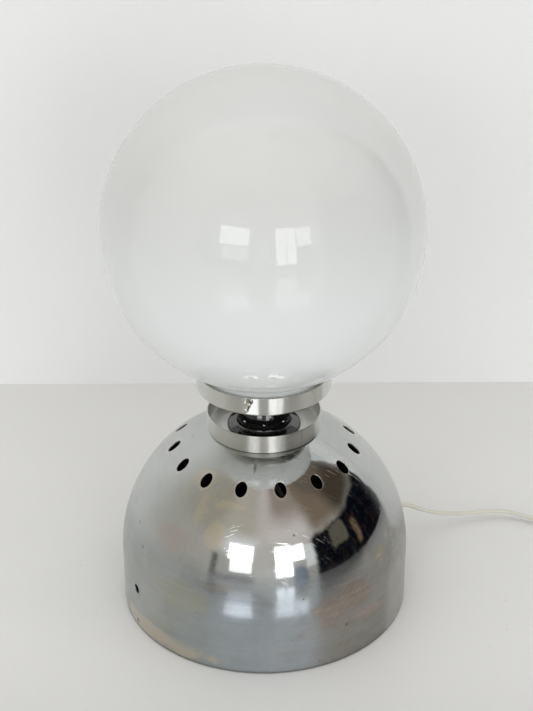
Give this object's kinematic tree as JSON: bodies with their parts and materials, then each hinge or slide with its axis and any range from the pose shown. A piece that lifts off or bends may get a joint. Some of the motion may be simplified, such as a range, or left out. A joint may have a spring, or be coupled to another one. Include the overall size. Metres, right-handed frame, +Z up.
{
  "type": "glass globe table lamp",
  "caption": "Table lamp: opal glass ball on a chrome gallery and black neck over a chrome dome base with a ring of vent holes, with a clear flex, switch and plug.",
  "frame": {"origin": "on the table under the lamp's axis, at the bottom of the felt ring", "axes": "+Z up along the axis of the base and the globe; -Y is the front of the picture; the cord leaves at the right rear"},
  "size_m": [0.608, 0.25, 0.4552],
  "materials": {
    "worn_chrome": "worn polished chrome plate, hazed and pitted",
    "bright_chrome": "polished chrome plate",
    "nickel_brass": "nickel-plated, worn to the brass",
    "zinc_steel": "zinc-plated steel",
    "grey_iron": "rough casting, painted",
    "dark_felt": "felt",
    "black_gloss": "gloss black",
    "black_rubber": "satin",
    "nylon": "matte",
    "opal_glass": "glossy white opal glass",
    "bakelite": "moulded phenolic",
    "porcelain": "glazed",
    "brass": "bright",
    "bulb_cap_metal": "drawn aluminium",
    "bulb_seal": "black sealing glass",
    "bulb_glass": "clear glass",
    "tungsten": "dull wire",
    "clear_pvc": "clear soft plastic, yellowed",
    "wire_insulation": "clear soft plastic, yellowed",
    "tie_plastic": "matte",
    "ivory_plastic": "satin ivory",
    "rocker_plastic": "gloss black"
  },
  "bodies": {
    "lamp": {"ballast_ring": "grey_iron", "ballast_screws": "zinc_steel", "base_dome": "worn_chrome", "base_lugs": "zinc_steel", "base_plate": "zinc_steel", "base_screws": "zinc_steel", "centre_contact": "brass", "centre_tube": "zinc_steel", "clamp_screws": "zinc_steel", "coil_tie": "tie_plastic", "cord_clamp": "nylon", "cord_coil": "clear_pvc", "cord_grommet": "black_rubber", "cord_inside": "clear_pvc", "cord_run_1": "clear_pvc", "cord_run_2": "clear_pvc", "cord_tail": "clear_pvc", "felt_ring": "dark_felt", "gallery": "bright_chrome", "gallery_bushes": "bright_chrome", "holder_cap": "bakelite", "holder_insert": "porcelain", "holder_skirt": "bakelite", "holder_wires": "wire_insulation", "lower_cup": "bright_chrome", "lower_nut": "zinc_steel", "lower_washer": "zinc_steel", "neck": "black_gloss", "neck_sleeve": "zinc_steel", "neck_studs": "nickel_brass", "plug_body": "ivory_plastic", "plug_pins": "brass", "screw_shell": "brass", "switch_base": "ivory_plastic", "switch_contacts": "brass", "switch_cover": "ivory_plastic", "switch_screws": "zinc_steel", "terminal_screws": "brass", "upper_nut": "zinc_steel", "upper_washer": "zinc_steel"},
    "thumbscrew_1": {"thumbscrew_1": "nickel_brass"},
    "thumbscrew_2": {"thumbscrew_2": "nickel_brass"},
    "thumbscrew_3": {"thumbscrew_3": "nickel_brass"},
    "globe": {"globe": "opal_glass"},
    "bulb": {"bulb_tip": "bulb_cap_metal", "bulb_seal": "bulb_seal", "bulb_cap": "bulb_cap_metal", "bulb_glass": "bulb_glass", "bulb_mount": "bulb_glass", "bulb_filament": "tungsten"},
    "rocker": {"switch_rocker": "rocker_plastic"}
  },
  "joints": [
    {"name": "globe_lift", "type": "slide", "parent": "lamp", "child": "globe", "axis": [0, 0, 1], "range_m": [0, 0.2]},
    {"name": "bulb_out", "type": "slide", "parent": "lamp", "child": "bulb", "axis": [0, 0, 1], "range_m": [0, 0.028]},
    {"name": "thumbscrew_1_out", "type": "slide", "parent": "lamp", "child": "thumbscrew_1", "axis": [-0.213, -0.977, 0], "range_m": [0, 0.004]},
    {"name": "thumbscrew_2_out", "type": "slide", "parent": "lamp", "child": "thumbscrew_2", "axis": [0.9527, 0.304, 0], "range_m": [0, 0.004]},
    {"name": "thumbscrew_3_out", "type": "slide", "parent": "lamp", "child": "thumbscrew_3", "axis": [-0.7396, 0.673, 0], "range_m": [0, 0.004]},
    {"name": "rocker_tip", "type": "hinge", "parent": "lamp", "child": "rocker", "pos_m": [0.327, 0.0805, 0.0124], "axis": [0, 1, 0], "range_deg": [-16, 0]}
  ]
}
